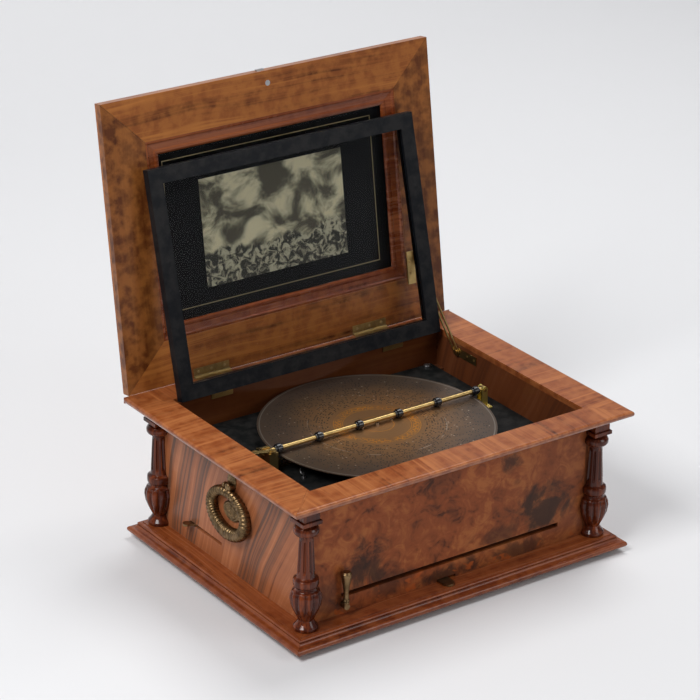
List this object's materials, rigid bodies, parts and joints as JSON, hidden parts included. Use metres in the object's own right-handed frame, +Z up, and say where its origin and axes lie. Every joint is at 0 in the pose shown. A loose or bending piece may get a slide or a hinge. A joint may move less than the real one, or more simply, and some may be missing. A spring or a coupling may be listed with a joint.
{
  "type": "wind_up_music_box",
  "caption": "Wind up disc music box: walnut case on a moulded plinth with turned columns, open lid, hinged glass frame, tune disc under a pressure rod, side handles",
  "frame": {"origin": "Centre of the case on the table, in the plane of the four feet", "axes": "+X to the right seen from the front, +Y to the back where the lid is hinged, +Z up"},
  "size_m": [0.583, 0.5105, 0.6352],
  "materials": {
    "black_wood": "ebonised wood",
    "brass": "aged brass",
    "bronze": "dark bronze",
    "card": "black mat",
    "ebony": "satin black",
    "felt": "green felt",
    "glass": "clear",
    "iron": "black japanned iron",
    "mahogany": "french polished mahogany",
    "paper": "sepia print",
    "steel": "polished steel",
    "walnut": "polished walnut"
  },
  "bodies": {
    "case": {"feet": "mahogany", "plinth": "walnut", "base_board": "walnut", "front_panel": "walnut", "back_panel": "walnut", "left_panel": "walnut", "right_panel": "walnut", "columns": "mahogany", "top_rim": "walnut", "bearers": "walnut", "storage_boards": "walnut", "slot_felt": "felt", "bedplate": "iron", "movement_screws": "steel", "motor_frame": "brass", "governor_cocks": "brass", "comb_blocks": "brass", "combs": "steel", "star_gantry": "brass", "crank_bush": "brass", "latch_post": "brass", "bar_post": "brass", "wire_hook": "steel", "case_hinge_leaves": "brass", "stay_pin": "brass", "pane_wall_leaves": "brass", "handle_plates": "brass"},
    "disc_drive": {"turntable": "steel", "disc": "bronze"},
    "stars": {"star_wheels": "steel"},
    "barrel": {"spring_barrel": "brass", "mainspring": "steel"},
    "winding": {"barrel_arbor": "steel"},
    "train": {"train_arbor": "steel"},
    "governor": {"governor_worm": "steel", "governor_fan": "brass"},
    "crank": {"crank_shaft": "steel", "crank_grip": "mahogany"},
    "rod": {"pressure_rod": "brass"},
    "left_rollers": {"rollers_left": "ebony"},
    "right_rollers": {"rollers_right": "ebony"},
    "latch": {"rod_latch": "brass"},
    "lid": {"lid_rails": "walnut", "lid_board": "walnut", "lid_moulding": "mahogany", "lid_glass": "glass", "lid_mat": "card", "lid_print": "paper", "lid_hinge_leaves": "brass", "lid_catch": "steel", "stay_bracket": "brass"},
    "stay": {"stay_arm": "brass"},
    "glass_door": {"glass_frame": "black_wood", "glass_pane": "glass", "pane_frame_leaves": "brass"},
    "left_handle": {"left_ring": "brass"},
    "right_handle": {"right_ring": "brass"},
    "start": {"start_lever": "brass"},
    "speed": {"speed_tab": "brass"},
    "side": {"side_lever": "brass"}
  },
  "joints": [
    {"name": "lid_hinge", "type": "hinge", "parent": "case", "child": "lid", "pos_m": [0, 0.216, 0.22], "axis": [-1, 0, 0], "range_deg": [-98.5, 0]},
    {"name": "stay_pivot", "type": "hinge", "parent": "lid", "child": "stay", "pos_m": [0.228, 0.22638, 0.31653], "axis": [-1, 0, 0], "range_deg": [0, 48.3]},
    {"name": "glass_hinge", "type": "hinge", "parent": "case", "child": "glass_door", "pos_m": [0, 0.1712, 0.216], "axis": [-1, 0, 0], "range_deg": [-104.8, 0]},
    {"name": "disc_spin", "type": "hinge", "parent": "case", "child": "disc_drive", "pos_m": [0, 0.003, 0.188], "axis": [0, 0, 1], "continuous": true},
    {"name": "star_spin", "type": "hinge", "parent": "case", "child": "stars", "pos_m": [0.1, 0.003, 0.1775], "axis": [1, 0, 0], "continuous": true},
    {"name": "barrel_spin", "type": "hinge", "parent": "case", "child": "barrel", "pos_m": [0, -0.069, 0.123], "axis": [0, 0, 1], "continuous": true},
    {"name": "train_spin", "type": "hinge", "parent": "case", "child": "train", "pos_m": [-0.048, -0.069, 0.123], "axis": [0, 0, 1], "continuous": true},
    {"name": "governor_spin", "type": "hinge", "parent": "case", "child": "governor", "pos_m": [-0.048, -0.0926, 0.137], "axis": [1, 0, 0], "continuous": true},
    {"name": "crank_turn", "type": "hinge", "parent": "case", "child": "crank", "pos_m": [0.25, -0.069, 0.144], "axis": [1, 0, 0], "continuous": true},
    {"name": "winding_turn", "type": "hinge", "parent": "case", "child": "winding", "pos_m": [0, -0.069, 0.132], "axis": [0, 0, 1], "continuous": true},
    {"name": "rod_hinge", "type": "hinge", "parent": "case", "child": "rod", "pos_m": [0.186, 0.003, 0.1956], "axis": [0, 1, 0], "range_deg": [0, 95]},
    {"name": "left_roller_spin", "type": "hinge", "parent": "rod", "child": "left_rollers", "pos_m": [-0.0992, 0.003, 0.1956], "axis": [1, 0, 0], "continuous": true},
    {"name": "right_roller_spin", "type": "hinge", "parent": "rod", "child": "right_rollers", "pos_m": [0.1042, 0.003, 0.1956], "axis": [1, 0, 0], "continuous": true},
    {"name": "latch_turn", "type": "hinge", "parent": "case", "child": "latch", "pos_m": [-0.185, -0.008, 0.2], "axis": [0, 0, -1], "range_deg": [0, 65]},
    {"name": "left_handle_swing", "type": "hinge", "parent": "case", "child": "left_handle", "pos_m": [-0.249, 0.003, 0.16], "axis": [0, 1, 0], "range_deg": [0, 95]},
    {"name": "right_handle_swing", "type": "hinge", "parent": "case", "child": "right_handle", "pos_m": [0.249, 0.003, 0.16], "axis": [0, -1, 0], "range_deg": [0, 95]},
    {"name": "start_turn", "type": "hinge", "parent": "case", "child": "start", "pos_m": [-0.184, -0.187, 0.0418], "axis": [0, 1, 0], "range_deg": [0, 45]},
    {"name": "speed_slide", "type": "slide", "parent": "case", "child": "speed", "axis": [1, 0, 0], "range_m": [0, 0.012]},
    {"name": "side_swing", "type": "hinge", "parent": "case", "child": "side", "pos_m": [-0.17, 0.0715, 0.057], "axis": [0, 0, 1], "range_deg": [0, 51]}
  ],
  "couplings": [
    {"joint": "stay_pivot", "follows": "lid_hinge", "ratio": -0.49},
    {"joint": "glass_hinge", "follows": "lid_hinge", "ratio": 1.064},
    {"joint": "barrel_spin", "follows": "disc_spin", "ratio": -0.71429},
    {"joint": "train_spin", "follows": "disc_spin", "ratio": 5},
    {"joint": "governor_spin", "follows": "disc_spin", "ratio": 45},
    {"joint": "winding_turn", "follows": "crank_turn", "ratio": 0.33333},
    {"joint": "left_roller_spin", "follows": "disc_spin", "ratio": -14.8},
    {"joint": "right_roller_spin", "follows": "disc_spin", "ratio": 15.5}
  ]
}
